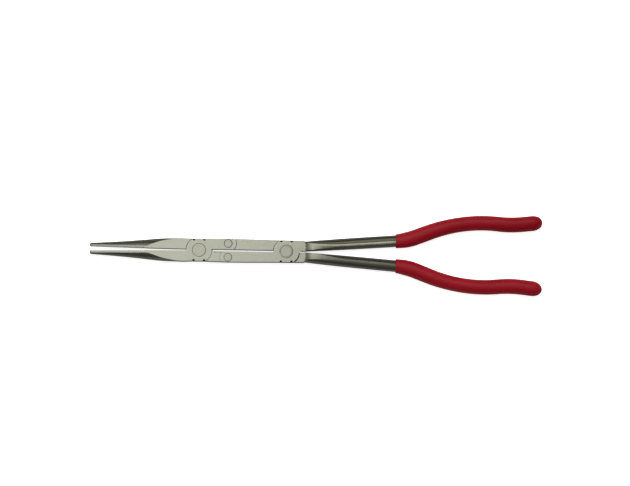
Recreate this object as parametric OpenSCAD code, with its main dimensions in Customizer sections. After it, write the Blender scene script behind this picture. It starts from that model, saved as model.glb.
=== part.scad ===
// Double-jointed long-reach long-nose pliers.
// Two identical jaws and two identical handles cross in half-lap joints. Each jaw's rear arm is pinned
// to the front arm of the handle behind it, so the four levers make a kite-shaped linkage: spreading
// the grips spreads the link rivets, and that spreads the jaws about twice as far.
// +X runs from the jaw tips to the grip ends, +Y to the right of someone holding the grips, +Z up out
// of the flat side. The origin is under the middle of the tool, on the surface that it lies on.

/* [Overall] */
// Length from the jaw tips to the grip ends
overall_len = 343; // [335:1:350]
// Thickness of the flat joint body, and height of the grips
body_t = 11; // [10.5:0.25:11.5]
// Half the width of the joint body at the jaw pivot
jaw_half_w = 8.4; // [8.2:0.05:8.6]
// Half the width of the joint body at the link rivets
link_half_w = 8.75; // [8.6:0.05:8.9]
// Half the width of the joint body at the handle pivot
handle_half_w = 8.3; // [8.1:0.05:8.5]

/* [Linkage] */
// Jaw tips to jaw pivot, along X
nose_len = 83; // [82:0.5:86]
// Jaw pivot to link rivets, along X
jaw_arm = 22; // [21.5:0.5:23]
// Link rivets to handle pivot, along X
handle_arm = 44; // [43:0.5:45]
// Each link rivet's distance from the centre line
link_y = 5.2; // [5.1:0.05:5.3]

/* [Lap joints] */
// Radius of the half-lap discs at the two pivots
lap_r = 9.7; // [9.5:0.1:9.9]
// Radius of the rounded arm ends at the link rivets
link_lap_r = 6.2; // [6:0.1:6.4]
// Gap between a lap disc and its shoulder
shoulder_gap = 0.25; // [0.2:0.05:0.4]
// Gap between the two layers of a lap
layer_gap = 0.04; // [0.02:0.01:0.08]

/* [Rivets] */
// Radius of the pivot rivets' shanks
pivot_shank_r = 3.5; // [3.2:0.1:3.8]
// Radius of the pivot rivets' flush heads
pivot_head_r = 5.05; // [4.8:0.05:5.2]
// Radius of the link rivets' shanks
link_shank_r = 2.0; // [1.8:0.1:2.2]
// Radius of the link rivets' flush heads
link_head_r = 2.95; // [2.8:0.05:3.0]
// Radial clearance of a rivet in the lever that holds it
rivet_fit = 0.02; // [0.01:0.01:0.03]
// Radial clearance of a pivot rivet in the lever that turns on it
pivot_play = 0.06; // [0.04:0.01:0.1]
// Radial clearance of a link rivet in the jaw arm
link_play = 0.2; // [0.16:0.01:0.25]

/* [Jaws] */
// Half the gap between the jaw tips at rest
tip_gap = 1.48; // [1.47:0.01:1.55]
// Half the gap between the jaws where they meet the joint
root_gap = 0.62; // [0.55:0.01:0.7]
// Distance from the centre line to a jaw's outer side at the tip
tip_half_w = 4.3; // [4:0.1:4.5]
// Half the thickness of a jaw at the tip
tip_half_t = 2.5; // [2.3:0.1:3]
// Length of the slender nose, from the tip to where it is as thick as the body
slender_len = 43.5; // [42:0.5:45]
// Width of the flat land beside each gripping face
land_w = 1.75; // [1.6:0.05:1.9]
// Length of the teeth
teeth_len = 40; // [36:1:42]
// Distance between teeth
teeth_pitch = 1.5; // [1.3:0.1:1.8]
// Depth of the teeth
teeth_depth = 0.4; // [0.3:0.05:0.5]

/* [Handles] */
// Radius of the steel handle rod
rod_r = 4.3; // [4.2:0.05:4.4]
// Length of the bare straight shank in front of the grip
shank_len = 70.5; // [69:0.5:72]
// Angle between a straight shank and the centre line
shank_deg = 4.37; // [4.3:0.01:4.45]
// Radius of the outward bend
out_r = 50; // [48:1:52]
// Angle of the outward bend
out_deg = 16.6; // [16:0.1:17]
// Straight length between the outward and the inward bend
mid_len = 11.7; // [11:0.1:12.5]
// Radius of the long inward bend, where the palm lies
palm_r = 114.5; // [112:0.5:117]
// Angle of the long inward bend
palm_deg = 26.3; // [26:0.1:27]
// Radius of the last outward bend
flick_r = 92; // [90:1:94]
// Angle of the last outward bend
flick_deg = 11.8; // [11.5:0.1:12]

/* [Hidden] */
$fn = 64;

steel = [0.72, 0.73, 0.68];
rivet_steel = [0.66, 0.67, 0.62];
grip_red = [0.62, 0.05, 0.1];

half_t = body_t / 2;
lap_t = half_t - layer_gap / 2;
tip_x = -overall_len / 2;
jaw_x = tip_x + nose_len;
link_x = jaw_x + jaw_arm;
handle_x = link_x + handle_arm;
// Inner edges of the arms between the two pivots, and of the block behind the handle pivot
arm_gap = 0.75;
block_gap = 0.55;
// Flat block behind the handle pivot, and how far inside its middle the neck starts
block_len = 13.5;
block_half_w = 8.2;
neck_inset = 0.2;
// Plan outline in front of the jaw pivot: a long flare, then a round shoulder
flare_len = 47;
shoulder_len = 17;
shoulder_half_w = 8.8;
flare_rise = 0.05;
flare_curve = 0.00058;
// The nose loft ends here and the flat joint body begins
loft_len = 71;
// How fast the forging thickens behind the slender nose
crown_len = 19;
// Radius of the rounded tip corner, seen from above
tip_corner = 1.2;
// How much of that rounding the section takes, and the largest part of the width that is flat land
tip_rounding = 0.8;
land_share = 0.6;
// First tooth, behind the tip
teeth_start = 1.2;
// Nicks at the edges of both pivots
nick_x = 3.9;
nick_r = 0.85;
nick_depth = 1.6;
far = 40;

// ---------------------------------------------------------------- plan outline

function blend(a, b, t) = a + (b - a) * (1 - cos(180 * t)) / 2;
function share(x, x0, x1) = min(1, max(0, (x - x0) / (x1 - x0)));

// Distance from the centre line to a jaw's outer side, d behind the tip
function flare(d) = tip_half_w + flare_rise * d + flare_curve * d * d;
function flare_slope(d) = flare_rise + 2 * flare_curve * d;
function nose_half_w(d) =
    d < flare_len ? flare(d)
    : let(t = min(d - flare_len, shoulder_len), s = flare_slope(flare_len))
        flare(flare_len) + s * t - s * t * t / (2 * shoulder_len);

// Distance from the centre line to the joint body's outer side at x
function body_half_w(x) =
    x < jaw_x ? blend(shoulder_half_w, jaw_half_w, share(x, tip_x + flare_len + shoulder_len, jaw_x))
    : x < link_x ? blend(jaw_half_w, link_half_w, share(x, jaw_x, link_x))
    : x < handle_x ? blend(link_half_w, handle_half_w, share(x, link_x, handle_x))
    : blend(handle_half_w, block_half_w, share(x, handle_x, handle_x + block_len));

// Part of the joint body on the +Y side, from x0 to x1, between an inner edge and the outer side
module side_plate(x0, x1, gap0, gap1, z0, z1) {
    steps = 12;
    outer = [for (i = [0:steps]) let(x = x0 + (x1 - x0) * i / steps) [x, body_half_w(x)]];
    translate([0, 0, z0])
        linear_extrude(z1 - z0)
            polygon(concat([[x1, gap1], [x0, gap0]], outer));
}

// ---------------------------------------------------------------- lofts

// Joins rings of points, all of the same count, into one closed solid
module loft(rings) {
    n = len(rings[0]);
    last = len(rings) - 1;
    points = [for (ring = rings) for (p = ring) p];
    sides = [for (i = [0:last - 1]) for (j = [0:n - 1]) let(
        a = i * n + j, b = i * n + (j + 1) % n, c = a + n, d = b + n)
        for (face = [[a, b, d], [a, d, c]]) face];
    caps = [[for (j = [0:n - 1]) n - 1 - j], [for (j = [0:n - 1]) last * n + j]];
    polyhedron(points, concat(caps, sides), convexity = 6);
}

// ---------------------------------------------------------------- jaws

// Half-thickness that the forging would have d behind the tip, before its sides are ground flat
function crown(d) = tip_half_t + (half_t - tip_half_t) * d / slender_len
    + half_t * pow(max(0, d - slender_len) / crown_len, 2);

// How far a round tip corner has come in, d behind the tip
function corner_loss(d) =
    d < tip_corner ? tip_corner - sqrt(max(0, tip_corner * tip_corner - pow(tip_corner - d, 2))) : 0;

function inner_y(d) = tip_gap + (root_gap - tip_gap) * d / loft_len;

// Cross-section d behind the tip: gripping face, flat land, then an elliptical outer side
function nose_ring(d) = let(
    n = 8,
    c = crown(d) - corner_loss(d) * tip_rounding,
    top = min(c, half_t),
    w = nose_half_w(d) - inner_y(d) - corner_loss(d) * tip_rounding,
    land = min(land_w, w * land_share),
    start = c > half_t ? asin(top / c) : 90,
    side = [for (k = [0:n]) let(t = start * (1 - k / n)) [land + (w - land) * cos(t), c * sin(t)]],
    half = concat([[0, top]], side))
    [for (p = concat(half, [for (k = [n + 1:-1:0]) if (half[k][1] > 0.0001) [half[k][0], -half[k][1]]]))
        [tip_x + d, inner_y(d) + p[0], half_t + p[1]]];

function nose_stations() = concat(
    [for (t = [0, 0.1, 0.3, 0.6]) t * tip_corner],
    [for (k = [0:12]) tip_corner + (slender_len - tip_corner) * k / 12],
    [for (k = [1:14]) slender_len + (loft_len - slender_len) * pow(k / 14, 2)]);

// One comb of V grooves, cut across the gripping face
module teeth() {
    count = floor(teeth_len / teeth_pitch);
    step = teeth_pitch;
    points = [for (i = [0:count - 1]) let(d = teeth_start + i * step) for (p = [
        [d, inner_y(d) - 0.001], [d + step / 2, inner_y(d + step / 2) + teeth_depth]]) [tip_x + p[0], p[1]]];
    end = teeth_start + count * step;
    translate([0, 0, -1])
        linear_extrude(body_t + 2)
            polygon(concat(points, [[tip_x + end, inner_y(end) - 0.001], [tip_x + end, 0],
                                    [tip_x + teeth_start, 0]]));
}

// Half-lap disc as wide as the joint body, in the layer from z0 to z1
module pivot_disc(x, half_w, z0, z1) {
    intersection() {
        translate([x, 0, z0])
            cylinder(r = lap_r, h = z1 - z0);
        translate([x - far / 2, -half_w, z0])
            cube([far, 2 * half_w, z1 - z0]);
    }
}

// Clearance around a partner's lap disc at (x, y), above the lap layer
module shoulder_cut(x, y, r) {
    translate([x, y, lap_t])
        cylinder(r = r + shoulder_gap, h = body_t);
}

// Hole for a rivet, with a countersunk seat at the face z = 0, and at z = body_t where both is true
module rivet_hole(x, y, shank_r, head_r, play) {
    translate([x, y, -1])
        cylinder(r = shank_r + play, h = body_t + 2);
    translate([x, y, 0])
        cylinder(r1 = head_r + play, r2 = shank_r + play, h = head_r - shank_r);
    translate([x, y, -1])
        cylinder(r = head_r + play, h = 1);
}

// Four small nicks where a pivot's lap disc meets the outer sides
module nicks(x, half_w) {
    for (sx = [-1, 1], sy = [-1, 1])
        translate([x + sx * nick_x, sy * (half_w + 0.1), -0.1])
            cylinder(r1 = nick_r, r2 = 0.2, h = nick_depth + 0.1);
}

// Right jaw at rest: its nose is on +Y, its arm on -Y, and its laps are in the lower layer
module jaw() {
    difference() {
        union() {
            loft([for (d = nose_stations()) nose_ring(d)]);
            difference() {
                side_plate(tip_x + loft_len, jaw_x, root_gap, root_gap, 0, body_t);
                shoulder_cut(jaw_x, 0, lap_r);
            }
            pivot_disc(jaw_x, jaw_half_w, 0, lap_t);
            jaw_rear_arm();
        }
        rivet_hole(jaw_x, 0, pivot_shank_r, pivot_head_r, pivot_play);
        rivet_hole(link_x, -link_y, link_shank_r, link_head_r, link_play);
        teeth();
        nicks(jaw_x, jaw_half_w);
    }
}

// Rear arm of the right jaw, with a round lap end at the link rivet
module jaw_rear_arm() {
    mirror([0, 1, 0]) {
        difference() {
            side_plate(jaw_x, link_x, arm_gap, arm_gap, 0, body_t);
            shoulder_cut(jaw_x, 0, lap_r);
            shoulder_cut(link_x, link_y, link_lap_r);
        }
        intersection() {
            side_plate(link_x - 1, link_x + link_lap_r + 1, arm_gap, arm_gap, 0, lap_t);
            translate([link_x, link_y, 0])
                cylinder(r = link_lap_r, h = lap_t);
        }
    }
}

// ---------------------------------------------------------------- handles

// Runs of the handle's centre line as [length, turn], a turn of 0 being straight
bends = [[shank_len, 0],
         [out_r * out_deg * PI / 180, out_deg],
         [mid_len, 0],
         [palm_r * palm_deg * PI / 180, -palm_deg],
         [flick_r * flick_deg * PI / 180, flick_deg]];
// Centre of the neck where it leaves the block, and its heading
neck_start = [handle_x + block_len, (block_gap + block_half_w) / 2 - neck_inset, shank_deg];

// A position and heading [x, y, heading] after one run
function advance(p, run) =
    run[1] == 0 ? [p[0] + run[0] * cos(p[2]), p[1] + run[0] * sin(p[2]), p[2]]
    : let(r = run[0] * 180 / (PI * run[1]), h = p[2] + run[1])
        [p[0] + r * (sin(h) - sin(p[2])), p[1] - r * (cos(h) - cos(p[2])), h];
function after(runs, i) = i == 0 ? neck_start : advance(after(runs, i - 1), runs[i - 1]);

bend_end = after(bends, len(bends));
grip_r = half_t;
// Neighbouring runs overlap by run_lap, and every second one is thinner by a hair, so that each end
// face lies inside its neighbour's section
hair = 0.06;
run_lap = 0.05;
last_len = (overall_len / 2 - grip_r + hair - bend_end[0]) / cos(bend_end[2]) + run_lap;
runs = concat(bends, [[last_len, 0]]);

neck_len = 34;
// Where the bare rod's cylinder takes over from the neck
neck_join = 33;
neck_end_r = rod_r - hair - 0.04;
// The neck's half-width at the block, and its half-thickness at the waist, neck_waist behind the block
neck_start_w = 3.55;
neck_waist_t = 4.2;
neck_waist = 6;
// Sharpness of the section at the block, falling to that of an ellipse
neck_start_square = 5;
ellipse_square = 2;
// The grip's thin open edge: how far it turns with the bend, and its radius
lip_deg = 3;
lip_r = grip_r - 0.35;
// Radial gap between the rod and the sleeve
sleeve_fit = 0.03;

// Section of a bar, hollow where inner is above zero
module section(outer, inner) {
    difference() {
        circle(r = outer);
        if (inner > 0)
            circle(r = inner);
    }
}

// Bar along one run that starts at p
module bar(p, run, outer, inner) {
    if (run[1] == 0)
        translate([p[0], p[1], half_t])
            rotate([0, 0, p[2]])
                rotate([0, 90, 0])
                    linear_extrude(run[0])
                        section(outer, inner);
    else {
        bend_r = abs(run[0] * 180 / (PI * run[1]));
        side = sign(run[1]);
        translate([p[0] - side * bend_r * sin(p[2]), p[1] + side * bend_r * cos(p[2]), half_t])
            rotate([0, 0, side > 0 ? p[2] - 90 : p[2] + 90 - abs(run[1])])
                rotate_extrude(angle = abs(run[1]))
                    translate([bend_r, 0])
                        section(outer, inner);
    }
}

// The same, thinner by a hair and reaching into both neighbours
module tucked_bar(p, run, outer, inner) {
    part = run_lap / run[0];
    start = advance(p, [-run_lap, -run[1] * part]);
    bar(start, [run[0] + 2 * run_lap, run[1] * (1 + 2 * part)], outer - hair, inner > 0 ? inner + hair : 0);
}

// Bar along every run from the given one on, with a half-round end
module chain(first, outer, inner) {
    for (i = [first:len(runs) - 1])
        if (i % 2 == 1)
            bar(after(runs, i), runs[i], outer, inner);
        else
            tucked_bar(after(runs, i), runs[i], outer, inner);
    end = advance(after(runs, len(runs)), [-run_lap, 0]);
    translate([end[0], end[1], half_t])
        rotate([0, 0, end[2]])
            rotate([0, 90, 0])
                rotate_extrude()
                    intersection() {
                        section(outer - hair, inner > 0 ? inner + hair : 0);
                        square(outer);
                    }
}

// Neck between the flat block and the round rod: a rounded rectangle that turns into a circle
function neck_half_w(u) = blend(neck_start_w, neck_end_r, share(u, 0, neck_len));
function neck_half_t(u) =
    u < neck_waist ? neck_waist_t + (half_t - neck_waist_t) * pow(1 - share(u, -0.2, neck_waist), 1.7)
    : blend(neck_waist_t, neck_end_r, share(u, neck_waist, neck_len));
function neck_square(u) = blend(neck_start_square, ellipse_square, share(u, 0, neck_len));
function neck_ring(u) = let(n = 32, e = 2 / neck_square(u), h = shank_deg) [for (k = [0:n - 1]) let(
    t = -360 * k / n, v = neck_half_w(u) * sign(cos(t)) * pow(abs(cos(t)), e),
    z = neck_half_t(u) * sign(sin(t)) * pow(abs(sin(t)), e))
    [neck_start[0] + u * cos(h) - v * sin(h), neck_start[1] + u * sin(h) + v * cos(h), half_t + z]];

module neck() {
    stations = [-2, -1, 0, 0.6, 1.3, 2.2, 3.4, 4.7, 6, 10, 14, 19, 24, 29, neck_len];
    loft([for (u = stations) neck_ring(u)]);
}

// Bare rod behind the neck, with its core inside the grip
module rod() {
    join = advance(neck_start, [neck_join, 0]);
    bar(join, [shank_len - neck_join + run_lap, 0], rod_r - hair, 0);
    chain(1, rod_r, 0);
}

// Left handle at rest: its grip is on -Y, its front arm on +Y, and its laps are in the lower layer
module handle() {
    difference() {
        union() {
            difference() {
                side_plate(link_x, handle_x, arm_gap, arm_gap, 0, body_t);
                shoulder_cut(handle_x, 0, lap_r);
                shoulder_cut(link_x, link_y, link_lap_r);
            }
            intersection() {
                side_plate(link_x - link_lap_r - 1, link_x + 1, arm_gap, arm_gap, 0, lap_t);
                translate([link_x, link_y, 0])
                    cylinder(r = link_lap_r, h = lap_t);
            }
            pivot_disc(handle_x, handle_half_w, 0, lap_t);
            mirror([0, 1, 0]) {
                difference() {
                    side_plate(handle_x, handle_x + block_len, block_gap, block_gap, 0, body_t);
                    shoulder_cut(handle_x, 0, lap_r);
                }
                neck();
                rod();
            }
        }
        rivet_hole(handle_x, 0, pivot_shank_r, pivot_head_r, pivot_play);
        rivet_hole(link_x, link_y, link_shank_r, link_head_r, rivet_fit);
        nicks(handle_x, handle_half_w);
    }
}

// Dipped sleeve of the left handle: thin at its open edge, with a round closed end
module grip() {
    inner = rod_r + sleeve_fit;
    per_deg = out_r * PI / 180;
    start = after(runs, 1);
    body_start = advance(start, [per_deg * lip_deg, lip_deg]);
    body_deg = out_deg - lip_deg;
    lip_turn = lip_deg + run_lap / per_deg;
    mirror([0, 1, 0]) {
        bar(start, [per_deg * lip_turn, lip_turn], lip_r, inner + hair);
        bar(body_start, [per_deg * body_deg, body_deg], grip_r, inner);
        chain(2, grip_r, inner);
    }
}

// ---------------------------------------------------------------- rivets

// Rivet with two flush countersunk heads
module rivet(x, y, shank_r, head_r) {
    cone = head_r - shank_r;
    translate([x, y, 0]) {
        cylinder(r1 = head_r, r2 = shank_r, h = cone);
        cylinder(r = shank_r, h = body_t);
        translate([0, 0, body_t - cone])
            cylinder(r1 = shank_r, r2 = head_r, h = cone);
    }
}

// Turns a lever over about the tool's long axis, which makes its partner
module turned_over() {
    translate([0, 0, body_t])
        rotate([180, 0, 0])
            children();
}

// ---------------------------------------------------------------- nodes

module right_jaw() { color(steel) jaw(); }
module left_jaw() { color(steel) turned_over() jaw(); }
module left_handle() { color(steel) handle(); }
module right_handle() { color(steel) turned_over() handle(); }
module jaw_pivot_rivet() { color(rivet_steel) rivet(jaw_x, 0, pivot_shank_r, pivot_head_r); }
module handle_pivot_rivet() { color(rivet_steel) rivet(handle_x, 0, pivot_shank_r, pivot_head_r); }
module right_link_rivet() { color(rivet_steel) rivet(link_x, -link_y, link_shank_r, link_head_r); }
module left_link_rivet() { color(rivet_steel) rivet(link_x, link_y, link_shank_r, link_head_r); }
module left_grip() { color(grip_red) grip(); }
module right_grip() { color(grip_red) turned_over() grip(); }

right_jaw();
left_jaw();
right_handle();
left_handle();
jaw_pivot_rivet();
handle_pivot_rivet();
right_link_rivet();
left_link_rivet();
right_grip();
left_grip();
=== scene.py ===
import math

import bmesh
import bpy
from mathutils import Matrix, Vector


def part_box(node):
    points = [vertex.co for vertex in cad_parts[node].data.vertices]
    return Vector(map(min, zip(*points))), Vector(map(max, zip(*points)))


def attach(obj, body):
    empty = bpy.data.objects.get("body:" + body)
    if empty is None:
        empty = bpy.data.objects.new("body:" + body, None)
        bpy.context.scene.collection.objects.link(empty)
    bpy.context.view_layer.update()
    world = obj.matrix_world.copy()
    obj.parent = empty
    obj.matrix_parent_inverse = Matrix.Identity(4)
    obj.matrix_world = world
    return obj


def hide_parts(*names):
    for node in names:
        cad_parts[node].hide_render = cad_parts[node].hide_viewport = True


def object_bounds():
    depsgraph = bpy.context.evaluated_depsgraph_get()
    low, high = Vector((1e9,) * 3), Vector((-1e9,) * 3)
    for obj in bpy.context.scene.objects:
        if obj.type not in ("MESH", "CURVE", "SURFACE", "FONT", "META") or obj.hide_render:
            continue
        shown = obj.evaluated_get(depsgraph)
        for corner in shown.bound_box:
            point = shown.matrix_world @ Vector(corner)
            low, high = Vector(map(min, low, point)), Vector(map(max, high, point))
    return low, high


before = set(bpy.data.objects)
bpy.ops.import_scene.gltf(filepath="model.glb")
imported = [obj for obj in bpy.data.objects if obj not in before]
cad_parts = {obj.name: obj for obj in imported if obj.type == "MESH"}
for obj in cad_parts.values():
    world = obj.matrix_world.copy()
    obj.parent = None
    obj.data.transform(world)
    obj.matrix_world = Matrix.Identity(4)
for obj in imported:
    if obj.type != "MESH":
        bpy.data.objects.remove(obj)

# Double-jointed long-nose pliers. Every lever, rivet and grip is built here in millimetres, in the row
# frame, and scaled to metres when it is finished. +X runs from the jaw tips to the grip ends.

CAD_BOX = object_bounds()
MM = 0.001


def centre(node):
    """Middle of a CAD node's box, in millimetres."""
    lo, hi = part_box(node)
    return (lo + hi) / (2 * MM)


def half_width(node):
    """Half of a CAD node's box along X, in millimetres."""
    lo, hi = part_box(node)
    return (hi.x - lo.x) / (2 * MM)


# ---------------------------------------------------------------- sizes taken from the frame

TIP_X = CAD_BOX[0].x / MM
END_X = CAD_BOX[1].x / MM
BODY_T = (CAD_BOX[1].z - CAD_BOX[0].z) / MM
HALF_T = BODY_T / 2
JAW_X = centre("jaw_pivot_rivet").x
HANDLE_X = centre("handle_pivot_rivet").x
LINK_X = centre("left_link_rivet").x
LINK_Y = centre("left_link_rivet").y
PIVOT_HEAD_R = half_width("jaw_pivot_rivet")
LINK_HEAD_R = half_width("left_link_rivet")
NOSE_LEN = JAW_X - TIP_X

# ---------------------------------------------------------------- sizes of the design, in mm and degrees

# Half-widths of the joint body, from the jaws' shoulder to the end of the block, and its slots
JAW_HALF_W = 8.4
LINK_HALF_W = 8.75
HANDLE_HALF_W = 8.3
SHOULDER_HALF_W = 8.8
BLOCK_HALF_W = 8.2
ARM_GAP = 0.75
BLOCK_GAP = 0.55
BLOCK_LEN = 13.5
NECK_INSET = 0.2

# Lap discs, rivets, and the room round them
LAP_R = 9.7
LINK_LAP_R = 6.2
LAP_T = HALF_T - 0.02
PIVOT_SHANK_R = 3.5
LINK_SHANK_R = 2.0
PIVOT_PLAY = 0.09
LINK_PLAY = 0.2
LINK_FIT = 0.13
SEAT_FIT = 0.04
RIM = 0.1

# Jaws: the slender nose, its flare and shoulder, and the land beside the gripping face
TIP_GAP = 1.48
ROOT_GAP = 0.62
TIP_HALF_W = 4.3
TIP_HALF_T = 2.5
SLENDER_LEN = 43.5
CROWN_LEN = 22.0
FLARE_LEN = 47.0
SHOULDER_LEN = 17.0
FLARE_RISE = 0.05
FLARE_CURVE = 0.00058
LOFT_LEN = 71.0
LAND_W = 1.7
LAND_SHARE = 0.6
TIP_CREASE = 26
CREASE_START = 12
CREASE_END = SLENDER_LEN - 4
DROP_END = SLENDER_LEN + 9
TIP_TOP_R = 0.5
TIP_INNER_R = 0.45
TIP_OUTER_R = 0.75
TEETH_START = 1.5
TEETH_LEN = 40.0
TEETH_PITCH = 1.5
TEETH_DEPTH = 0.4
TOOTH_HALF = 0.36
TOOTH_POINTS = (0.14, 0.5, 0.86)

# Handles: a straight shank, then bends outwards, back over the palm, and outwards again at the heel
SHANK_LEN = 70.5
SHANK_DEG = 4.37
GRIP_START = SHANK_LEN - 0.95
OUT_R, OUT_DEG = 50, 16.6
CANT_LEN = 11.7
PALM_R, PALM_DEG = 114.5, 26.3
HEEL_R, HEEL_DEG = 92, 11.8
RUNS = [
    (SHANK_LEN, 0.0),
    (OUT_R * math.radians(OUT_DEG), OUT_DEG),
    (CANT_LEN, 0.0),
    (PALM_R * math.radians(PALM_DEG), -PALM_DEG),
    (HEEL_R * math.radians(HEEL_DEG), HEEL_DEG),
]
ROD_HALF_W = 4.5
ROD_HALF_T = 4.3
ROD_STOP = 6.5
ROD_DOME = 3.2
GRIP_HALF_T = 5.46
END_CLEARANCE = 0.06
# Length over which the block and the neck share their sections, and how far the neck reaches into the block
NECK_LEN = 40
BLOCK_OVERLAP = 2.5

# Points up one side of a section, from the bottom face to the top face, and between the two sides
COLUMN = 17
STRIP_SHARES = [0.03, 0.12, 0.3, 0.5, 0.7, 0.88, 0.97]
STRIP = len(STRIP_SHARES)
# Steps in each rounded edge, and points along each arc and straight of a lever's outline
EDGE_STEPS = 4
LAP_POINTS = 22
LINK_POINTS = 24
ARM_POINTS = 26
STRAIGHT_POINTS = 12
OUTER_EDGE_R = 0.28
LAP_EDGE_R = 0.1
GRIP_EDGE_R = 0.1
# How far a cutter reaches past the face that it cuts, and the distance at which close points are merged
PAST = 1
MERGE = 0.002
PIT_SEGMENTS = 20


# ---------------------------------------------------------------- small helpers


def mix(a, b, t):
    """a at t = 0, b at t = 1."""
    return a + (b - a) * t


def share(x, x0, x1):
    """How far x is from x0 to x1, from 0 to 1."""
    return min(1.0, max(0.0, (x - x0) / (x1 - x0)))


def blend(a, b, t):
    """Cosine blend from a to b."""
    return mix(a, b, (1 - math.cos(math.pi * t)) / 2)


def smooth(t):
    """Eases from 0 to 1 as t goes from 0 to 1."""
    t = min(1.0, max(0.0, t))
    return t * t * (3 - 2 * t)


def spread(a, b, count):
    """count values from a to b, both included."""
    return [mix(a, b, i / (count - 1)) for i in range(count)]


# ---------------------------------------------------------------- meshes


def new_object(name, verts, faces):
    """Closed mesh object, still in millimetres, with its normals outward."""
    mesh = bpy.data.meshes.new(name)
    mesh.from_pydata([tuple(v) for v in verts], [], faces)
    bm = bmesh.new()
    bm.from_mesh(mesh)
    bmesh.ops.recalc_face_normals(bm, faces=bm.faces)
    bm.to_mesh(mesh)
    bm.free()
    obj = bpy.data.objects.new(name, mesh)
    bpy.context.scene.collection.objects.link(obj)
    return obj


def bake_modifiers(obj):
    """Replaces the object's mesh by the one that its modifiers make."""
    depsgraph = bpy.context.evaluated_depsgraph_get()
    mesh = bpy.data.meshes.new_from_object(obj.evaluated_get(depsgraph))
    obj.modifiers.clear()
    old = obj.data
    obj.data = mesh
    bpy.data.meshes.remove(old)


def cut(obj, cutters):
    """Takes the cutters out of the object, and deletes them."""
    for cutter in cutters:
        modifier = obj.modifiers.new("cut", "BOOLEAN")
        modifier.operation = "DIFFERENCE"
        modifier.solver = "EXACT"
        modifier.object = cutter
    bake_modifiers(obj)
    for cutter in cutters:
        bpy.data.objects.remove(cutter)


def finish_piece(obj, crease_deg=28):
    """Scales a piece to metres and shades it: smooth on curves, sharp where two faces meet at an angle."""
    mesh = obj.data
    mesh.transform(Matrix.Scale(MM, 4))
    bm = bmesh.new()
    bm.from_mesh(mesh)
    bmesh.ops.remove_doubles(bm, verts=bm.verts, dist=MERGE * MM)
    bmesh.ops.dissolve_degenerate(bm, edges=bm.edges, dist=MERGE * MM)
    bmesh.ops.recalc_face_normals(bm, faces=bm.faces)
    bm.to_mesh(mesh)
    bm.free()
    mesh.shade_smooth()
    mesh.set_sharp_from_angle(angle=math.radians(crease_deg))
    modifier = obj.modifiers.new("normals", "WEIGHTED_NORMAL")
    modifier.keep_sharp = True
    bake_modifiers(obj)


def turn_over(obj):
    """Turns a lever half way round the tool's long axis, which makes its partner."""
    obj.data.transform(Matrix.Translation((0, 0, BODY_T)) @ Matrix.Rotation(math.pi, 4, "X"))


def revolve(name, x, y, profile, segments):
    """Closed solid of revolution about an upright axis at (x, y), from (radius, z) pairs, bottom to top."""
    verts = []
    for radius, z in profile:
        for k in range(segments):
            a = 2 * math.pi * k / segments
            verts.append((x + radius * math.cos(a), y + radius * math.sin(a), z))
    faces = [list(range(segments))[::-1]]
    last = (len(profile) - 1) * segments
    faces.append([last + k for k in range(segments)])
    for i in range(len(profile) - 1):
        for k in range(segments):
            a, b = i * segments + k, i * segments + (k + 1) % segments
            faces.append([a, b, b + segments, a + segments])
    return new_object(name, verts, faces)


# ---------------------------------------------------------------- plan outline of the joint body


def flare(d):
    """Half-width of the flaring nose, d behind the tip."""
    return TIP_HALF_W + FLARE_RISE * d + FLARE_CURVE * d * d


def nose_half_w(d):
    """Distance from the centre line to a jaw's outer side, d behind the tip."""
    if d < FLARE_LEN:
        return flare(d)
    t = min(d - FLARE_LEN, SHOULDER_LEN)
    slope = FLARE_RISE + 2 * FLARE_CURVE * FLARE_LEN
    return flare(FLARE_LEN) + slope * t - slope * t * t / (2 * SHOULDER_LEN)


def body_half_w(x):
    """Distance from the centre line to the joint body's outer side at x."""
    if x < JAW_X:
        return blend(SHOULDER_HALF_W, JAW_HALF_W, share(x, TIP_X + FLARE_LEN + SHOULDER_LEN, JAW_X))
    if x < LINK_X:
        return blend(JAW_HALF_W, LINK_HALF_W, share(x, JAW_X, LINK_X))
    if x < HANDLE_X:
        return blend(LINK_HALF_W, HANDLE_HALF_W, share(x, LINK_X, HANDLE_X))
    return blend(HANDLE_HALF_W, BLOCK_HALF_W, share(x, HANDLE_X, HANDLE_X + BLOCK_LEN))


def side_profile(edge_r, z0, z1):
    """(inset, z) pairs up an upright side whose two edges are rounded."""
    low = []
    for i in range(EDGE_STEPS + 1):
        a = math.radians(90) * i / EDGE_STEPS
        low.append((edge_r * (1 - math.sin(a)), edge_r * (1 - math.cos(a))))
    middle = COLUMN - 2 * len(low)
    rise = z1 - z0
    side = [(inset, z0 + z) for inset, z in low]
    side += [(0.0, z0 + mix(edge_r, rise - edge_r, (i + 1) / (middle + 1))) for i in range(middle)]
    side += [(inset, z1 - z) for inset, z in reversed(low)]
    return side


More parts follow.
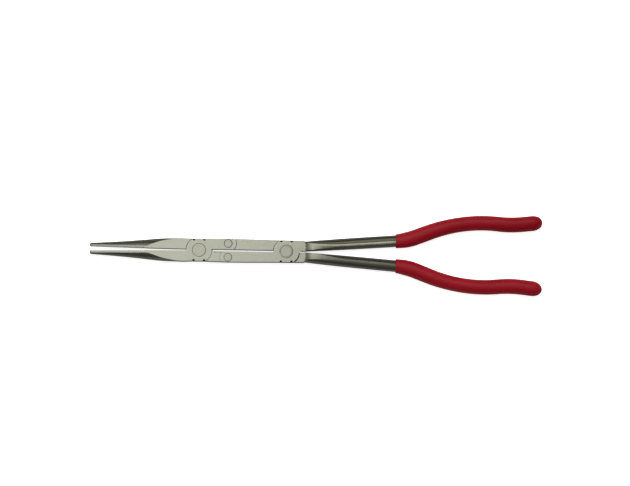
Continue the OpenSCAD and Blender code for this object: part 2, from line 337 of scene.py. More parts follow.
class Lever:
    """Outline of a lever in its own plane: the pivot is at the origin, the long side (nose or rod) runs
    to +X below the centre line, and the arm runs to -X above it. sign turns that into the row frame."""

    def __init__(self, pivot_x, sign, arm_len, half_w, long_gap, long_x):
        self.pivot_x = pivot_x
        self.sign = sign
        self.arm_len = arm_len
        self.half_w = half_w
        self.long_gap = long_gap
        self.long_x = long_x

    def outer(self, x):
        """Half-width of the joint body at x in the lever's own plane."""
        return body_half_w(self.pivot_x + self.sign * x)

    def arc(self, cx, cy, r, start, end, count):
        """Points on an arc, in degrees, without its first and last."""
        angles = spread(math.radians(start), math.radians(end), count)[1:-1]
        return [(cx + r * math.cos(a), cy + r * math.sin(a), LAP_EDGE_R) for a in angles]

    def outline(self):
        """(x, y, edge radius) points, anticlockwise, from the long side's inner edge to its outer edge."""
        gap_deg = math.degrees(math.asin(self.long_gap / LAP_R))
        arm_deg = math.degrees(math.asin(ARM_GAP / LAP_R))
        flat_x = math.sqrt(LAP_R**2 - self.half_w**2)
        flat_deg = math.degrees(math.atan2(self.half_w, flat_x))
        link_x = -self.arm_len
        top_deg = math.degrees(math.asin((LINK_HALF_W - LINK_Y) / LINK_LAP_R))
        low_deg = math.degrees(math.asin((LINK_Y - ARM_GAP) / LINK_LAP_R))
        link_top_x = link_x - LINK_LAP_R * math.cos(math.radians(top_deg))
        link_low_x = link_x - LINK_LAP_R * math.cos(math.radians(low_deg))
        lap_x = LAP_R * math.cos(math.radians(gap_deg))
        arm_x = -LAP_R * math.cos(math.radians(arm_deg))

        halfway = mix(self.long_x, lap_x, 0.5)
        points = [(x, -self.long_gap, LAP_EDGE_R) for x in (self.long_x, halfway, lap_x)]
        points += self.arc(0, 0, LAP_R, -gap_deg, flat_deg, LAP_POINTS)
        points += [(x, self.outer(x), OUTER_EDGE_R) for x in spread(flat_x, link_top_x, ARM_POINTS)]
        points += self.arc(link_x, LINK_Y, LINK_LAP_R, 180 - top_deg, 180 + low_deg, LINK_POINTS)
        points += [(x, ARM_GAP, LAP_EDGE_R) for x in spread(link_low_x, arm_x, STRAIGHT_POINTS)]
        points += self.arc(0, 0, LAP_R, 180 - arm_deg, 180 + flat_deg, LAP_POINTS)
        outside = spread(-flat_x, self.long_x, STRAIGHT_POINTS)
        points += [(x, -self.outer(x), OUTER_EDGE_R) for x in outside]
        return points

    def columns(self):
        """One rounded side profile for each point of the outline."""
        points = self.outline()
        columns = []
        last = len(points) - 1
        for i, (x, y, edge_r) in enumerate(points):
            before = points[max(i - 1, 0)]
            after = points[min(i + 1, last)]
            normals = []
            for a, b in ((before, (x, y)), ((x, y), after)):
                dx, dy = b[0] - a[0], b[1] - a[1]
                length = math.hypot(dx, dy)
                if length > 1e-6:
                    normals.append((-dy / length, dx / length))
            if i in (0, last):
                normals = [(0.0, -1.0 if i == 0 else 1.0)]
            n1, n2 = normals[0], normals[-1]
            scale = 1 / (1 + n1[0] * n2[0] + n1[1] * n2[1])
            nx, ny = (n1[0] + n2[0]) * scale, (n1[1] + n2[1]) * scale
            profile = side_profile(edge_r, 0, BODY_T)
            columns.append([(x + nx * inset, y + ny * inset, z) for inset, z in profile])
        return columns

    def to_row(self, p):
        """A point of the lever's own plane, in the row frame."""
        return (self.pivot_x + self.sign * p[0], self.sign * p[1], p[2])

    def build(self, name, rings):
        """Closed lever: the flat body, and the long side lofted through the rings after the first. A ring
        is the inner column upwards, the strip over the top, the outer column downwards and the strip
        along the bottom. The first ring is the section where the body ends, with the body's columns."""
        columns = self.columns()
        verts = [p for column in columns for p in column]
        count = len(columns)
        inner = list(range(COLUMN))
        outer = [(count - 1) * COLUMN + k for k in range(COLUMN)]
        ring_size = 2 * (COLUMN + STRIP)

        def add(points):
            start = len(verts)
            verts.extend(points)
            return list(range(start, start + len(points)))

        first = rings[0]
        top = add(first[COLUMN:COLUMN + STRIP])
        bottom = add(first[2 * COLUMN + STRIP:])
        loops = [inner + top + outer[::-1] + bottom]
        for ring in rings[1:]:
            loops.append(add(ring))

        faces = []
        for i in range(count - 1):
            for k in range(COLUMN - 1):
                a, b = i * COLUMN + k, (i + 1) * COLUMN + k
                faces.append([a, b, b + 1, a + 1])
        faces.append([i * COLUMN + COLUMN - 1 for i in range(count)] + top[::-1])
        faces.append([i * COLUMN for i in range(count)] + bottom)
        for a, b in zip(loops, loops[1:]):
            for k in range(ring_size):
                j = (k + 1) % ring_size
                faces.append([a[k], a[j], b[j], b[k]])
        faces.append(loops[-1])
        return new_object(name, [self.to_row(p) for p in verts], faces)


# ---------------------------------------------------------------- cutters


def lap_cutter(x, y, r, edge):
    """Clears the upper layer round a partner's lap disc, and breaks the edge of the shoulder."""
    profile = [(r, LAP_T), (r, BODY_T - edge), (r + edge + PAST, BODY_T + PAST)]
    return revolve("cutter", x, y, profile, 128)


def hole_cutter(x, y, shank_r, head_r, play):
    """Clears a rivet and its countersunk head at the face z = 0, with the rim broken."""
    seat = head_r + play
    bore = shank_r + play
    depth = RIM + head_r - shank_r
    profile = [(seat + RIM + PAST, -PAST), (seat, RIM), (bore, depth), (bore, BODY_T + PAST)]
    return revolve("cutter", x, y, profile, 96)


def nick_cutters(x, half_w):
    """Small pits where the lap disc's edge meets the outer sides."""
    nick_x, rim_r, depth, inset = 3.95, 1.03, 2.6, 0.5
    profile = [(rim_r, -0.2), (0.05, depth)]
    cutters = []
    for sx in (-1, 1):
        for sy in (-1, 1):
            pit = revolve("cutter", x + sx * nick_x, sy * (half_w - inset), profile, PIT_SEGMENTS)
            cutters.append(pit)
    return cutters


def bar_cutter(x0, x1, y, z, size):
    """Square bar along X, set on its edge, which cuts a straight V groove at (y, z)."""
    verts = []
    for x in (x0, x1):
        for dy, dz in ((size, 0), (0, size), (-size, 0), (0, -size)):
            verts.append((x, y + dy, z + dz))
    faces = [[0, 1, 2, 3], [4, 5, 6, 7]]
    faces += [[k, (k + 1) % 4, 4 + (k + 1) % 4, 4 + k] for k in range(4)]
    return new_object("cutter", verts, faces)


def groove_cutters(x0, x1, y):
    """Fine line across the top face from x0 to x1, with a pit at each end."""
    pit = [(0.05, BODY_T - 1.0), (0.36, BODY_T + 0.2)]
    ends = [revolve("cutter", x, y + 0.1, pit, PIT_SEGMENTS) for x in (x0, x1)]
    return [bar_cutter(x0, x1, y, BODY_T, 0.13)] + ends


# ---------------------------------------------------------------- jaws


def crown(d):
    """Half-thickness of the forging d behind the tip, before its flats are ground."""
    base = TIP_HALF_T + (HALF_T - TIP_HALF_T) * d / SLENDER_LEN
    return base + HALF_T * (max(0.0, d - SLENDER_LEN) / CROWN_LEN) ** 2


def corner_loss(d, r):
    """How far a corner of radius r has come in, d behind the tip."""
    return r - math.sqrt(max(0.0, r * r - (r - d) ** 2)) if d < r else 0.0


def inner_y(d):
    """Distance from the centre line to a jaw's gripping side, d behind the tip."""
    return mix(TIP_GAP, ROOT_GAP, d / LOFT_LEN)


def tooth(d):
    """Depth of the gripping serration d behind the tip."""
    t = (d - TEETH_START) / TEETH_PITCH
    if t < 0 or d > TEETH_START + TEETH_LEN:
        return 0.0
    t -= math.floor(t)
    return TEETH_DEPTH * max(0.0, 1 - abs(t - 0.5) / TOOTH_HALF)


def nose_ring(d, root_crease, land_drop):
    """Section d behind the tip: gripping face, land that drops towards its outer edge, and a rounded
    outer side that starts at a crease, whose steepness changes from TIP_CREASE to root_crease degrees."""
    shoulder = FLARE_LEN + SHOULDER_LEN
    c = crown(d) - corner_loss(d, TIP_TOP_R)
    top = min(c, HALF_T)
    inner = inner_y(d) + corner_loss(d, TIP_INNER_R)
    w = nose_half_w(d) if d < shoulder else body_half_w(TIP_X + d)
    w -= corner_loss(d, TIP_OUTER_R)
    land = inner + min(LAND_W, (w - inner) * LAND_SHARE)
    drop = land_drop * (1 - smooth(share(d, CREASE_END, DROP_END)))
    crease = mix(TIP_CREASE, root_crease, share(d, CREASE_START, CREASE_END))
    start = math.radians(90 - crease)
    reach = (w - land) / (1 - math.cos(start))
    full = (c - drop) / math.sin(start)
    t0 = math.asin(min((top - drop) / full, 1.0))
    z0, z1 = HALF_T - top, HALF_T + top
    bite = tooth(d)
    inner_column = [(inner + inset + bite, z) for inset, z in side_profile(GRIP_EDGE_R, z0, z1)]
    arc = []
    for k in range(COLUMN):
        t = t0 * (1 - 2 * k / (COLUMN - 1))
        arc.append((w - reach * (1 - math.cos(t)), HALF_T + full * math.sin(t)))
    flat = [(w - inset, z) for inset, z in reversed(side_profile(OUTER_EDGE_R, 0, BODY_T))]
    s = smooth(share(d, shoulder - 4, LOFT_LEN))
    outer_column = [(mix(a[0], b[0], s), mix(a[1], b[1], s)) for a, b in zip(arc, flat)]
    a, b = inner_column[-1][0], outer_column[0][0]
    top_strip = [(mix(a, b, t), z1 - drop * t) for t in STRIP_SHARES]
    bottom_strip = [(y, BODY_T - z) for y, z in reversed(top_strip)]
    section = inner_column + top_strip + outer_column + bottom_strip
    return [(NOSE_LEN - d, -y, z) for y, z in section]


def nose_stations():
    """Distances behind the tip, from the joint body to the tip."""
    rounded_tip = [0, 0.04, 0.12, 0.25, 0.45, 0.75, 1.1]
    flat_start = [SLENDER_LEN - 0.5, SLENDER_LEN - 0.1, SLENDER_LEN + 0.1]
    steps, crowding = 26, 1.35
    stations = rounded_tip + flat_start
    for i in range(round(TEETH_LEN / TEETH_PITCH)):
        stations += [TEETH_START + TEETH_PITCH * (i + t) for t in TOOTH_POINTS]
    for k in range(2, steps + 1):
        stations.append(SLENDER_LEN + (LOFT_LEN - SLENDER_LEN) * (k / steps) ** crowding)
    return sorted(stations, reverse=True)


def make_jaw(name, root_crease, land_drop):
    """Right jaw: its nose is on +Y, its arm on -Y, and its laps are in the lower layer."""
    lever = Lever(JAW_X, -1, LINK_X - JAW_X, JAW_HALF_W, ROOT_GAP, NOSE_LEN - LOFT_LEN)
    jaw = lever.build(name, [nose_ring(d, root_crease, land_drop) for d in nose_stations()])
    cutters = [
        lap_cutter(JAW_X - 0.06, 0.03, LAP_R + 0.2, 0.09),
        lap_cutter(LINK_X, -LINK_Y, LINK_LAP_R + 0.07, 0.07),
        hole_cutter(JAW_X, 0, PIVOT_SHANK_R, PIVOT_HEAD_R, PIVOT_PLAY),
        hole_cutter(LINK_X, -LINK_Y, LINK_SHANK_R, LINK_HEAD_R, LINK_PLAY),
    ]
    cutters += nick_cutters(JAW_X, JAW_HALF_W)
    cutters += groove_cutters(JAW_X + 11.6, JAW_X + 17, -ARM_GAP - 0.85)
    cut(jaw, cutters)
    return jaw


# ---------------------------------------------------------------- handles


def advance(p, run):
    """Position and heading (x, y, degrees) after one run of (length, turn)."""
    x, y, heading = p
    length, turn = run
    h = math.radians(heading)
    if turn == 0:
        return (x + length * math.cos(h), y + length * math.sin(h), heading)
    r = length / math.radians(turn)
    end = h + math.radians(turn)
    return (x + r * (math.sin(end) - math.sin(h)), y - r * (math.cos(end) - math.cos(h)), heading + turn)


NECK_START = (HANDLE_X + BLOCK_LEN, (BLOCK_GAP + BLOCK_HALF_W) / 2 - NECK_INSET, SHANK_DEG)


def path_point(u):
    """Position and heading on a handle's centre line, u behind the block, on the +Y side."""
    p = NECK_START
    if u < 0:
        return advance(p, (u, 0.0))
    for length, turn in RUNS:
        if u <= length:
            return advance(p, (u, turn * u / length))
        p = advance(p, (length, turn))
        u -= length
    return advance(p, (u, 0.0))


def path_length():
    """Length of the centre line from the block to the grip's end."""
    bent = sum(length for length, turn in RUNS)
    p = path_point(bent)
    return bent + (END_X - END_CLEARANCE - p[0]) / math.cos(math.radians(p[2]))


PATH_LEN = path_length()


def oval(half_in, half_out, half_t, crown_of):
    """(lateral, z) points of a rounded section: inner column upwards, over the top, outer column
    downwards and along the bottom. crown_of(inner, top) gives a quadrant's crown, where it is thickest,
    and its power, 2 for an ellipse and more for a squarer corner."""
    count = 2 * (COLUMN + STRIP)
    first = -180.0 * (COLUMN - 1) / count
    points = []
    for k in range(count):
        a = math.radians(first + 360.0 * k / count)
        inner, top = math.cos(a) > 0, math.sin(a) > 0
        crown_at, power = crown_of(inner, top)
        c = abs(math.cos(a)) ** (2 / power)
        s = abs(math.sin(a)) ** (2 / power)
        lateral = crown_at - c * (half_in + crown_at) if inner else crown_at + c * (half_out - crown_at)
        points.append((lateral, HALF_T + (s if top else -s) * half_t))
    return points


def fade(u, length, power=1):
    """1 at u = 0, falling towards 0 over the length."""
    return math.exp(-((u / length) ** power))


def rod_section(u, extra=0.0):
    """Steel section u behind the block, as (lateral, z). Near the block its faces are flat from the inner
    edge outwards; further back the flat narrows to a crown near the inner side, sharper on the top."""
    u = max(u, 0)
    half = ROD_HALF_W - 0.85 * fade(u, 18) + extra
    near = fade(u, 14.5, 2)

    def crown_of(inner, top):
        if top and inner:
            crown_at, power = -1.5 - 2.3 * fade(u, 21, 2), 1.3 + 1.2 * near
        elif top:
            crown_at, power = -1.15 + 1.45 * near, 1.75 + 0.45 * near
        elif inner:
            crown_at, power = -1.6 * (1 - fade(u, 12)) - 2.6 * near, 1.9 + 1.1 * near
        else:
            crown_at, power = -1.6 * (1 - fade(u, 12)) + 2.2 * near, 2.02 + 0.5 * near
        return max(crown_at, 0.4 - half), power

    half_t = ROD_HALF_T + 0.95 * (1 - smooth(share(u, 0, 60))) + extra
    return oval(half, half, half_t, crown_of)


def block_section(x):
    """Flat block section at x, as (y, z) on the +Y side."""
    outer = body_half_w(x)
    inner_column = [(BLOCK_GAP + inset, z) for inset, z in side_profile(LAP_EDGE_R, 0, BODY_T)]
    outer_column = [(outer - inset, z) for inset, z in reversed(side_profile(OUTER_EDGE_R, 0, BODY_T))]
    a, b = inner_column[-1][0], outer_column[0][0]
    strip = [mix(a, b, t) for t in STRIP_SHARES]
    top = [(y, BODY_T) for y in strip]
    bottom = [(y, 0.0) for y in reversed(strip)]
    return inner_column + top + outer_column + bottom


def forging_dip(x, y):
    """How far a point beyond the block has settled from the flat block to the rounded neck."""
    corner, straight, sweep, settle = 3.2, 14.45, 2.1, 0.8
    t = share(y, BLOCK_HALF_W - corner, BLOCK_HALF_W)
    edge = HANDLE_X + straight - sweep * (1 - math.sqrt(1 - t * t))
    d = max(0.0, x - edge) / settle
    return 1 - (1 + d) * math.exp(-d)


def on_path(u, lateral, z):
    """Point beside the centre line, on the -Y side, relative to the handle pivot."""
    x, y, heading = path_point(u)
    h = math.radians(heading)
    return (x - lateral * math.sin(h) - HANDLE_X, -(y + lateral * math.cos(h)), z)


def handle_ring(u):
    """Section u behind the block, in the lever's own plane: flat first, then settling to the rod."""
    rod = [on_path(u, lateral, z) for lateral, z in rod_section(u)]
    if u > NECK_LEN:
        return rod
    x = NECK_START[0] + u
    ring = []
    for (y, z), p in zip(block_section(x), rod):
        s = forging_dip(x, y)
        ring.append((mix(x - HANDLE_X, p[0], s), mix(-y, p[1], s), mix(z, p[2], s)))
    return ring


def handle_stations():
    """Distances behind the block, from the flat body to the rod's end inside the grip."""
    near = [-BLOCK_OVERLAP + k * 0.35 for k in range(44)]
    far = spread(near[-1] + 1.2, SHANK_LEN, 20)
    inside = spread(SHANK_LEN + 1.5, PATH_LEN - ROD_STOP, 56)
    return near + far + inside


def handle_rings():
    """Rings of the long side of a handle, closed by a dome inside the grip."""
    rings = [handle_ring(u) for u in handle_stations()]
    end = PATH_LEN - ROD_STOP
    for step in (0.5, 0.8, 0.95):
        shape = scaled(rod_section(end), math.sqrt(1 - step**2))
        rings.append([on_path(end + ROD_DOME * step, lateral, z) for lateral, z in shape])
    return rings


def make_handle(name):
    """Left handle: its grip is on -Y, its front arm on +Y, and its laps are in the lower layer."""
    lever = Lever(HANDLE_X, 1, HANDLE_X - LINK_X, HANDLE_HALF_W, BLOCK_GAP, BLOCK_LEN - BLOCK_OVERLAP)
    handle = lever.build(name, handle_rings())
    cutters = [
        lap_cutter(HANDLE_X + 0.1, -0.4, LAP_R + 0.5, 0.1),
        lap_cutter(LINK_X, LINK_Y, LINK_LAP_R + 0.24, 0.1),
        hole_cutter(HANDLE_X, 0, PIVOT_SHANK_R, PIVOT_HEAD_R, SEAT_FIT),
        hole_cutter(LINK_X, LINK_Y, LINK_SHANK_R, LINK_HEAD_R, LINK_FIT),
    ]
    cutters += nick_cutters(HANDLE_X, HANDLE_HALF_W)
    cut(handle, cutters)
    return handle


# ---------------------------------------------------------------- grips


def grip_section(u):
    """Outer section of the dipped grip u behind the block, as (lateral, z)."""
    lip, mouth_t = 5.38, 5.1
    s = u - GRIP_START
    swell = smooth(s / 13)
    bulge = smooth(s / 8) * (1 - smooth(share(s, 16, 52)))
    end = smooth(share(s, 66, 92))
    half_in = mix(lip, 5.74, swell) + 0.24 * bulge + 0.26 * end
    half_out = mix(lip, 5.46, swell) + 0.46 * bulge + 0.02 * end
    half_t = mix(mouth_t, GRIP_HALF_T, smooth(s / 12))
    return oval(half_in, half_out, half_t, lambda inner, top: (0.0, 2.08))


def grip_ring(u, shape, slant=0.0):
    """Ring across the centre line. slant leans it, so that it starts earlier on the inner side."""
    return [on_path(u + slant * lateral, lateral, z) for lateral, z in shape]


def scaled(shape, factor):
    """A section shrunk towards its middle."""
    return [(lateral * factor, HALF_T + (z - HALF_T) * factor) for lateral, z in shape]


def make_grip(name):
    """Left handle's dipped sleeve, open towards the joint, with a rolled lip and a rounded end."""
    lip_r, lip_steps = 0.34, 9
    dome, dome_steps, dome_power = 7.8, 14, 0.95
    slant, slant_len = 0.07, 12
    play = 0.03
    mouth, mouth_step, mouth_rings = GRIP_START + lip_r, 0.8, 12

    def slant_at(u):
        return slant * (1 - share(u, GRIP_START, GRIP_START + slant_len))

    bore = spread(PATH_LEN - ROD_DOME, mouth, 60)
    rings = [grip_ring(u, rod_section(u, play), slant_at(u)) for u in bore]
    lip_out = grip_section(GRIP_START)
    lip_in = rod_section(GRIP_START, play)
    for step in range(1, lip_steps):
        a = math.radians(180) * step / lip_steps
        t = (1 - math.cos(a)) / 2
        shape = [(mix(p[0], q[0], t), mix(p[1], q[1], t)) for p, q in zip(lip_in, lip_out)]
        rings.append(grip_ring(GRIP_START + lip_r * (1 - math.sin(a)), shape, slant))
    stations = [mouth + k * mouth_step for k in range(mouth_rings)]
    stations += spread(mouth + 10.4, PATH_LEN - dome, 64)
    rings += [grip_ring(u, grip_section(u), slant_at(u)) for u in stations]
    shape = grip_section(PATH_LEN - dome)
    for step in range(1, dome_steps):
        a = math.radians(90) * step / dome_steps
        u = PATH_LEN - dome + dome * math.sin(a)
        rings.append(grip_ring(u, scaled(shape, math.cos(a) ** dome_power)))
    return skin(name, rings)


def skin(name, rings):
    """Closed mesh through rings of one count, capped at both ends, in the row frame."""
    size = len(rings[0])
    verts = [(p[0] + HANDLE_X, p[1], p[2]) for ring in rings for p in ring]
    last = (len(rings) - 1) * size
    faces = [list(range(size)), [last + k for k in range(size)]]
    for i in range(len(rings) - 1):
        for k in range(size):
            a, b = i * size + k, i * size + (k + 1) % size
            faces.append([a, b, b + size, a + size])
    return new_object(name, verts, faces)


# ---------------------------------------------------------------- rivets


def head_profile(shank_r, head_r, ring_r):
    """(radius, depth) pairs of a flush head, from its middle to the shank, with a peening ring."""
    middle, edge, groove, guard = 0.4, 0.1, 0.09, 0.3
    seat = edge * 1.3
    profile = [(middle, 0.0)]
    if ring_r:
        profile += [(ring_r - guard, 0.0), (ring_r - groove, 0.0), (ring_r, groove * 0.5)]
        profile += [(ring_r + groove, 0.0), (ring_r + guard, 0.0)]
    profile += [(head_r - edge - guard, 0.0), (head_r - edge, 0.0)]
    profile += [(head_r - edge * 0.4, edge * 0.3), (head_r, seat)]
    profile.append((shank_r, seat + head_r - shank_r))
    return profile


def make_rivet(name, shank_r, head_r, ring_r):
    """Rivet with two flush countersunk heads."""
    at = centre(name)
    half = head_profile(shank_r, head_r, ring_r)
    profile = half + [(r, BODY_T - depth) for r, depth in reversed(half)]
    return revolve(name + "_detail", at.x, at.y, profile, 96)


# ---------------------------------------------------------------- materials


def new_material(name):
    """Material with its nodes, its links and its shader."""
    material = bpy.data.materials.new(name)
    material.use_nodes = True
    nodes = material.node_tree.nodes
    return material, nodes, material.node_tree.links, nodes["Principled BSDF"]


def noise_node(nodes, links, vector, scale, detail, roughness=0.5):
    """Noise, around 0.5."""
    node = nodes.new("ShaderNodeTexNoise")
    node.inputs["Scale"].default_value = scale
    node.inputs["Detail"].default_value = detail
    node.inputs["Roughness"].default_value = roughness
    links.new(vector, node.inputs["Vector"])
    return node.outputs["Fac"]


def along_tool(nodes, links, x0, x1, value0, value1):
    """Changes from value0 at x0 to value1 at x1, both in metres along the tool."""
    where = nodes.new("ShaderNodeTexCoord")
    split = nodes.new("ShaderNodeSeparateXYZ")
    links.new(where.outputs["Object"], split.inputs["Vector"])
    return ranged(nodes, links, split.outputs["X"], x0, x1, value0, value1)


def stretched(nodes, links, scale=(1, 1, 1)):
    """Object coordinates in metres, scaled by axis."""
    where = nodes.new("ShaderNodeTexCoord")
    mapping = nodes.new("ShaderNodeMapping")
    mapping.inputs["Scale"].default_value = scale
    links.new(where.outputs["Object"], mapping.inputs["Vector"])
    return mapping.outputs["Vector"]


def ranged(nodes, links, value, from_lo, from_hi, to_lo, to_hi):
    """Value carried from one range to another, and kept inside it."""
    node = nodes.new("ShaderNodeMapRange")
    node.inputs["From Min"].default_value = from_lo
    node.inputs["From Max"].default_value = from_hi
    node.inputs["To Min"].default_value = to_lo
    node.inputs["To Max"].default_value = to_hi
    links.new(value, node.inputs["Value"])
    return node.outputs["Result"]


def maths(nodes, links, operation, a, b):
    """Two values or sockets joined by a Math node."""
    node = nodes.new("ShaderNodeMath")
    node.operation = operation
    for socket, value in zip(node.inputs, (a, b)):
        if isinstance(value, (int, float)):
            socket.default_value = value
        else:
            links.new(value, socket)
    return node.outputs["Value"]


def tinted(nodes, links, factor, a, b):
    """Colour between a and b."""
    node = nodes.new("ShaderNodeMix")
    node.data_type = "RGBA"
    links.new(factor, node.inputs["Factor"])
    for socket, value in ((node.inputs["A"], a), (node.inputs["B"], b)):
        if isinstance(value, tuple):
            socket.default_value = (*value, 1)
        else:
            links.new(value, socket)
    return node.outputs["Result"]


def edge_wear(nodes, links, radius):
    """Near 1 along convex and concave edges, 0 on open faces."""
    bevel = nodes.new("ShaderNodeBevel")
    bevel.samples = 8
    bevel.inputs["Radius"].default_value = radius
    geometry = nodes.new("ShaderNodeNewGeometry")
    dot = nodes.new("ShaderNodeVectorMath")
    dot.operation = "DOT_PRODUCT"
    links.new(bevel.outputs["Normal"], dot.inputs[0])
    links.new(geometry.outputs["Normal"], dot.inputs[1])
    return ranged(nodes, links, dot.outputs["Value"], 0.995, 0.86, 0.0, 1.0)


def gap_shade_mask(nodes, links, reach):
    """Painted shade mask: near 1 deep in narrow gaps and pits, where shade falls, 0 on open faces."""
    shade = nodes.new("ShaderNodeAmbientOcclusion")
    shade.samples = 6
    shade.inputs["Distance"].default_value = reach
    return ranged(nodes, links, shade.outputs["AO"], 0.75, 0.35, 0.0, 0.92)


def bump(nodes, links, height, strength, distance, below=None):
    """Normal of a relief, over the relief below. The strength is a number or a socket."""
    node = nodes.new("ShaderNodeBump")
    if isinstance(strength, (int, float)):
        node.inputs["Strength"].default_value = strength
    else:
        links.new(strength, node.inputs["Strength"])
    node.inputs["Distance"].default_value = distance
    links.new(height, node.inputs["Height"])
    if below is not None:
        links.new(below, node.inputs["Normal"])
    return node.outputs["Normal"]


def steel_material(name, dark, light, rough_lo, rough_hi):
    """Satin steel: ground grain along the tool, cloudy tarnish, brighter edges and painted shade in narrow
    gaps.
    The rods behind the blocks are smoother and glossier than the flats."""
    # Dark brown painted shade for narrow gaps and pits
    painted_gap_shade = (0.05, 0.045, 0.038)
    edge_gain, edge_share, edge_gloss = 1.12, 0.6, -0.08
    cloud_share, stain_share, fine_share = 0.7, 0.3, 0.06
    block_end = (HANDLE_X + BLOCK_LEN) * MM
    material, nodes, links, shader = new_material(name)
    even = stretched(nodes, links)
    grain = noise_node(nodes, links, stretched(nodes, links, (260, 2600, 2600)), scale=1.0, detail=3)
    fine = noise_node(nodes, links, even, scale=1500, detail=2)
    cloud = noise_node(nodes, links, even, scale=70, detail=5, roughness=0.6)
    streaks = stretched(nodes, links, (0.6, 1, 1))
    stain = noise_node(nodes, links, streaks, scale=240, detail=3, roughness=0.6)
    wear = edge_wear(nodes, links, 0.0004)
    ground = along_tool(nodes, links, block_end, block_end + 0.006, 1.0, 0.15)

    mottled = maths(nodes, links, "MULTIPLY", cloud, cloud_share)
    for spots, weight in ((stain, stain_share), (fine, fine_share)):
        mottled = maths(nodes, links, "ADD", mottled, maths(nodes, links, "MULTIPLY", spots, weight))
    colour = tinted(nodes, links, ranged(nodes, links, mottled, 0.35, 0.78, 0.0, 1.0), dark, light)
    bright_edge = tuple(min(1.0, c * edge_gain) for c in light)
    colour = tinted(nodes, links, maths(nodes, links, "MULTIPLY", wear, edge_share), colour, bright_edge)
    # Painted shade: darkens the colour where ambient occlusion finds narrow gaps and pits
    colour = tinted(nodes, links, gap_shade_mask(nodes, links, 0.0014), colour, painted_gap_shade)
    links.new(colour, shader.inputs["Base Color"])

    shader.inputs["Metallic"].default_value = 1.0
    satin = ranged(nodes, links, maths(nodes, links, "ADD", cloud, grain), 0.7, 1.3, rough_lo, rough_hi)
    rough = maths(nodes, links, "MULTIPLY", satin, ranged(nodes, links, ground, 0.0, 1.0, 0.5, 1.0))
    rough = maths(nodes, links, "ADD", rough, maths(nodes, links, "MULTIPLY", wear, edge_gloss))
    links.new(rough, shader.inputs["Roughness"])

    relief = None
    for height, full, distance in ((grain, 0.16, 0.00004), (fine, 0.06, 0.00004), (cloud, 0.10, 0.0002)):
        strength = maths(nodes, links, "MULTIPLY", ground, full)
        relief = bump(nodes, links, height, strength, distance, below=relief)
    links.new(relief, shader.inputs["Normal"])
    return material


def vinyl_material(name):
    """Dipped vinyl: deep red, satin, with slow ripples, a fine orange peel and scuffed high spots."""
    deep = (0.235, 0.0035, 0.0095)
    bright = (0.31, 0.0055, 0.0145)
    dusty = (0.34, 0.035, 0.04)
    edge_share, scuff_share = 0.3, 0.22
    material, nodes, links, shader = new_material(name)
    even = stretched(nodes, links)
    ripple = noise_node(nodes, links, even, scale=90, detail=2)
    peel = noise_node(nodes, links, even, scale=1400, detail=3)
    drawn_out = stretched(nodes, links, (0.5, 1, 1))
    cloud = noise_node(nodes, links, drawn_out, scale=55, detail=4, roughness=0.55)
    scuff = noise_node(nodes, links, stretched(nodes, links, (120, 1700, 1700)), scale=1.0, detail=3)
    wear = edge_wear(nodes, links, 0.0006)

    colour = tinted(nodes, links, ranged(nodes, links, cloud, 0.3, 0.7, 0.0, 1.0), deep, bright)
    marks = ranged(nodes, links, scuff, 0.66, 0.8, 0.0, scuff_share)
    rubbed = maths(nodes, links, "ADD", marks, maths(nodes, links, "MULTIPLY", wear, edge_share))
    links.new(tinted(nodes, links, rubbed, colour, dusty), shader.inputs["Base Color"])

    shader.inputs["Specular IOR Level"].default_value = 0.2
    links.new(ranged(nodes, links, cloud, 0.3, 0.7, 0.30, 0.38), shader.inputs["Roughness"])
    relief = bump(nodes, links, ripple, strength=0.25, distance=0.0004)
    relief = bump(nodes, links, peel, strength=0.12, distance=0.00005, below=relief)
    links.new(relief, shader.inputs["Normal"])
    return material


def floor_material():
    """Pale matt floor that stays bright under the tool."""
    material, nodes, links, shader = new_material("floor_paint")
    tone = noise_node(nodes, links, stretched(nodes, links), scale=3, detail=3)
    links.new(tinted(nodes, links, tone, (0.86, 0.86, 0.86), (0.9, 0.9, 0.9)), shader.inputs["Base Color"])
    shader.inputs["Roughness"].default_value = 0.9
    shader.inputs["Specular IOR Level"].default_value = 0.0
    shader.inputs["Emission Color"].default_value = (1, 1, 1, 1)
    shader.inputs["Emission Strength"].default_value = 0.85
    return material


# ---------------------------------------------------------------- stage, lights and camera


def make_floor():
    """Large pale floor, a hair below the tool. It gives no reflection in the steel."""
    half, cells, below = 3.0, 24, 0.0002
    verts = []
    for j in range(cells + 1):
        for i in range(cells + 1):
            verts.append((mix(-half, half, i / cells), mix(-half, half, j / cells), 0.0))
    row = cells + 1
    faces = [[j * row + i, j * row + i + 1, (j + 1) * row + i + 1, (j + 1) * row + i]
             for j in range(cells) for i in range(cells)]
    mesh = bpy.data.meshes.new("floor")
    mesh.from_pydata(verts, [], faces)
    floor = bpy.data.objects.new("floor", mesh)
    bpy.context.scene.collection.objects.link(floor)
    floor.data.materials.append(floor_material())
    floor.location.z = CAD_BOX[0].z - below
    floor.visible_glossy = False


def area_light(name, at, towards, size_x, size_y, power, colour):
    """Rectangular light at one point, turned towards another."""
    data = bpy.data.lights.new(name, "AREA")
    data.shape = "RECTANGLE"
    data.size = size_x
    data.size_y = size_y
    data.energy = power
    data.color = colour
    light = bpy.data.objects.new(name, data)
    light.location = at
    light.rotation_mode = "QUATERNION"
    light.rotation_quaternion = (Vector(towards) - Vector(at)).to_track_quat("-Z", "Y")
    bpy.context.scene.collection.objects.link(light)
    return light


def make_lights():
    """A softbox overhead, a warm wall that only reflections show, and a fill that they don't."""
    middle = (0, 0, 0)
    area_light("softbox", (-0.25, 0.04, 1.05), (-0.1, 0, 0), 0.97, 0.56, 1.22, (0.99, 1.0, 0.98))
    wall = area_light("warm_wall", (0.0, 1.15, 1.0), middle, 2.4, 0.7, 0.95, (1.0, 0.82, 0.60))
    wall.visible_diffuse = False
    fill = area_light("fill", (-0.1, 0.75, 1.3), middle, 1.6, 1.2, 24, (1.0, 1.0, 1.0))
    fill.visible_glossy = False


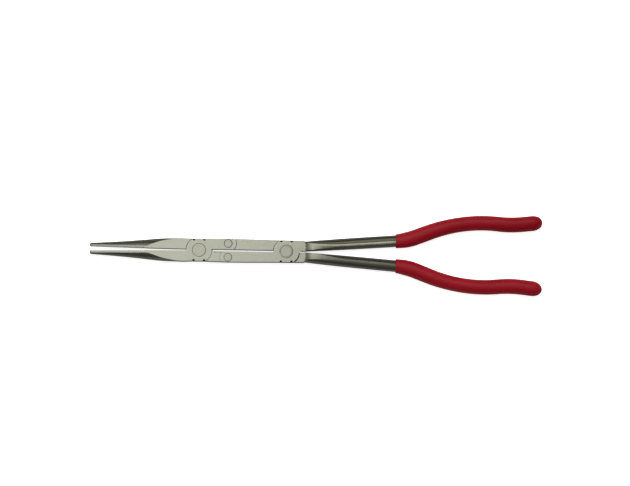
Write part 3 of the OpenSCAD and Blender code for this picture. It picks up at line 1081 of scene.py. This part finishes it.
def make_world():
    """Dim room for reflections: warm above, cool and dark near the floor. The camera sees it pale."""
    world = bpy.data.worlds.new("room")
    bpy.context.scene.world = world
    world.use_nodes = True
    nodes, links = world.node_tree.nodes, world.node_tree.links
    background = nodes["Background"]
    where = nodes.new("ShaderNodeTexCoord")
    split = nodes.new("ShaderNodeSeparateXYZ")
    links.new(where.outputs["Generated"], split.inputs["Vector"])
    ramp = nodes.new("ShaderNodeValToRGB")
    stops = [
        (0.0, (0.14, 0.14, 0.145)),
        (0.05, (0.05, 0.05, 0.055)),
        (0.3, (0.045, 0.045, 0.05)),
        (0.55, (0.055, 0.05, 0.045)),
        (0.8, (0.10, 0.09, 0.075)),
        (1.0, (0.22, 0.215, 0.20)),
    ]
    ramp.color_ramp.elements[0].position = stops[0][0]
    ramp.color_ramp.elements[0].color = (*stops[0][1], 1)
    ramp.color_ramp.elements[1].position = stops[-1][0]
    ramp.color_ramp.elements[1].color = (*stops[-1][1], 1)
    for position, colour in stops[1:-1]:
        ramp.color_ramp.elements.new(position).color = (*colour, 1)
    links.new(split.outputs["Z"], ramp.inputs["Fac"])
    links.new(ramp.outputs["Color"], background.inputs["Color"])
    pale = nodes.new("ShaderNodeBackground")
    pale.inputs["Color"].default_value = (0.93, 0.93, 0.93, 1)
    path = nodes.new("ShaderNodeLightPath")
    chooser = nodes.new("ShaderNodeMixShader")
    links.new(path.outputs["Is Camera Ray"], chooser.inputs["Fac"])
    links.new(background.outputs["Background"], chooser.inputs[1])
    links.new(pale.outputs["Background"], chooser.inputs[2])
    links.new(chooser.outputs["Shader"], nodes["World Output"].inputs["Surface"])


def make_camera():
    """Nearly straight above, tipped a little towards -Y and rolled a little."""
    elevation, roll, distance = 86.3, 0.99, 1.328
    off_middle = Vector((-0.00094, 0.00705, 0))
    data = bpy.data.cameras.new("camera")
    data.lens, data.sensor_width = 100, 36
    data.clip_start, data.clip_end = 0.05, 20
    camera = bpy.data.objects.new("camera", data)
    bpy.context.scene.collection.objects.link(camera)
    e = math.radians(elevation)
    back = Vector((0, -math.cos(e), math.sin(e)))
    middle = (CAD_BOX[0] + CAD_BOX[1]) / 2
    camera.location = middle + off_middle + back * distance
    camera.rotation_mode = "QUATERNION"
    turn = Matrix.Rotation(math.radians(roll), 4, "Z").to_quaternion()
    camera.rotation_quaternion = (-back).to_track_quat("-Z", "Y") @ turn
    bpy.context.scene.camera = camera
    bpy.context.scene.view_settings.view_transform = "Standard"


# ---------------------------------------------------------------- assembly


def dress(piece, node, body, material):
    """Finishes a piece, gives it its material, and lets it stand for its CAD node on that body."""
    finish_piece(piece)
    piece.data.materials.clear()
    piece.data.materials.append(material)
    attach(piece, body)
    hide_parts(node)


def make_levers(material):
    """Jaws and handles. The left jaw and the right handle are turned over: their laps are on top."""
    for node, root_crease, land_drop, over in (("right_jaw", 10, 0.2, False), ("left_jaw", 26, 0.0, True)):
        jaw = make_jaw(node + "_detail", root_crease, land_drop)
        if over:
            turn_over(jaw)
        dress(jaw, node, node, material)
    for node, over in (("left_handle", False), ("right_handle", True)):
        handle = make_handle(node + "_detail")
        if over:
            turn_over(handle)
        dress(handle, node, node, material)


def make_grips(material):
    """Both sleeves, the right one turned over with its handle."""
    for node, body, over in (("left_grip", "left_handle", False), ("right_grip", "right_handle", True)):
        grip = make_grip(node + "_detail")
        if over:
            turn_over(grip)
        dress(grip, node, body, material)


def make_rivets(material):
    """The four rivets: node, body, shank and head radius, and the radius of the peening ring, if any."""
    table = [
        ("jaw_pivot_rivet", "left_jaw", PIVOT_SHANK_R, PIVOT_HEAD_R, None),
        ("handle_pivot_rivet", "left_handle", PIVOT_SHANK_R, PIVOT_HEAD_R, 4.3),
        ("right_link_rivet", "right_handle", LINK_SHANK_R, LINK_HEAD_R, None),
        ("left_link_rivet", "left_handle", LINK_SHANK_R, LINK_HEAD_R, None),
    ]
    for node, body, shank_r, head_r, ring_r in table:
        dress(make_rivet(node, shank_r, head_r, ring_r), node, body, material)


make_camera()
make_world()
make_lights()
make_floor()
make_levers(steel_material("forged_steel_satin", (0.53, 0.54, 0.445), (0.61, 0.622, 0.53), 0.20, 0.28))
make_rivets(steel_material("rivet_steel_satin", (0.51, 0.515, 0.425), (0.60, 0.61, 0.52), 0.22, 0.30))
make_grips(vinyl_material("dipped_red_vinyl"))
